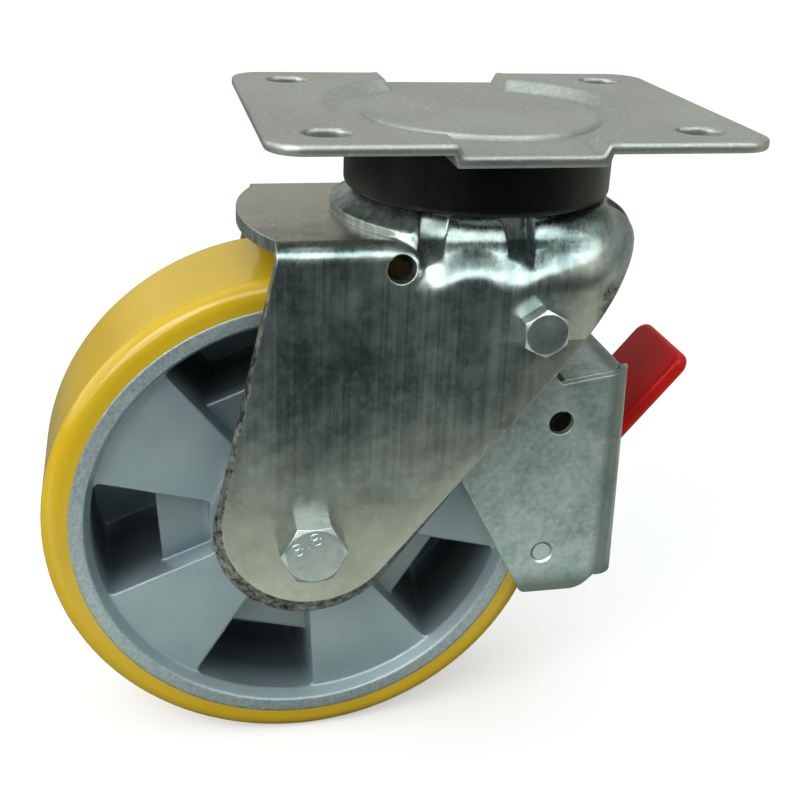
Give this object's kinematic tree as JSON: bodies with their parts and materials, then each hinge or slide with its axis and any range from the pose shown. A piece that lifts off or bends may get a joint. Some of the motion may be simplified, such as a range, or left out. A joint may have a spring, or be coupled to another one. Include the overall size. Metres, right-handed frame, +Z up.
{
  "type": "swivel castor",
  "caption": "Top-plate swivel castor with a pressed steel fork, a bearing wheel with a cast centre and bonded amber tread, and a foot brake with a red pedal.",
  "frame": {"origin": "Centre of the four plate slots, on the top plate's upper face, where the swivel axis meets it.", "axes": "+Z up, out of the plate's upper face and along the swivel axis; +X along the plate's length towards the brake pedal, away from the wheel; +Y completes the right-handed set, along the wheel axle."},
  "size_m": [0.2071, 0.11, 0.205],
  "materials": {
    "plate_zinc": "dull zinc plating on pressed steel, with soft cloudy patches",
    "fork_zinc": "mottled zinc plating on deep-drawn steel, with fine vertical draw marks",
    "bracket_zinc": "bright bluish zinc plating with fine scratches",
    "bolt_zinc": "bright zinc-plated fasteners",
    "dark_steel": "plain machined steel",
    "bearing_steel": "ground bearing steel",
    "seal_black": "black moulded plastic, slightly satin",
    "pedal_red": "red moulded plastic, satin",
    "shoe_rubber": "black rubber",
    "tread_amber": "glossy amber yellow polyurethane",
    "wheel_grey": "satin blue-grey cast aluminium"
  },
  "bodies": {
    "mount": {"top_plate": "plate_zinc", "king_pin": "dark_steel", "upper_race": "bearing_steel", "upper_balls": "bearing_steel", "lower_cup": "bearing_steel", "king_nut": "bolt_zinc", "seal_ring": "seal_black"},
    "swivel": {"fork": "fork_zinc", "fork_race": "bearing_steel", "lower_race": "bearing_steel", "lower_balls": "bearing_steel", "brake_bracket": "bracket_zinc", "brake_sleeve": "dark_steel", "brake_bolt": "bolt_zinc", "brake_washer": "bolt_zinc", "brake_nut": "bolt_zinc", "pivot_pins": "bolt_zinc", "axle_tube": "dark_steel", "axle_spacers": "bolt_zinc", "axle_bolt": "bolt_zinc", "axle_washer": "bolt_zinc", "axle_nut": "bolt_zinc", "bearing_inner_rings": "bearing_steel"},
    "wheel": {"tread": "tread_amber", "wheel_centre": "wheel_grey", "bearing_outer_rings": "bearing_steel", "bearing_balls": "bearing_steel", "bearing_seals": "seal_black"},
    "pedal": {"pedal_lever": "bracket_zinc", "pedal_cover": "pedal_red", "brake_shoe": "shoe_rubber", "shoe_rivets": "bolt_zinc"}
  },
  "joints": [
    {"name": "swivel", "type": "hinge", "parent": "mount", "child": "swivel", "pos_m": [0, 0, -0.0245], "axis": [0, 0, 1], "continuous": true},
    {"name": "wheel_spin", "type": "hinge", "parent": "swivel", "child": "wheel", "pos_m": [-0.055, 0, -0.125], "axis": [0, 1, 0], "continuous": true},
    {"name": "brake_pedal", "type": "hinge", "parent": "swivel", "child": "pedal", "pos_m": [0.0208, 0, -0.1373], "axis": [0, 1, 0], "range_deg": [0, 24]}
  ]
}
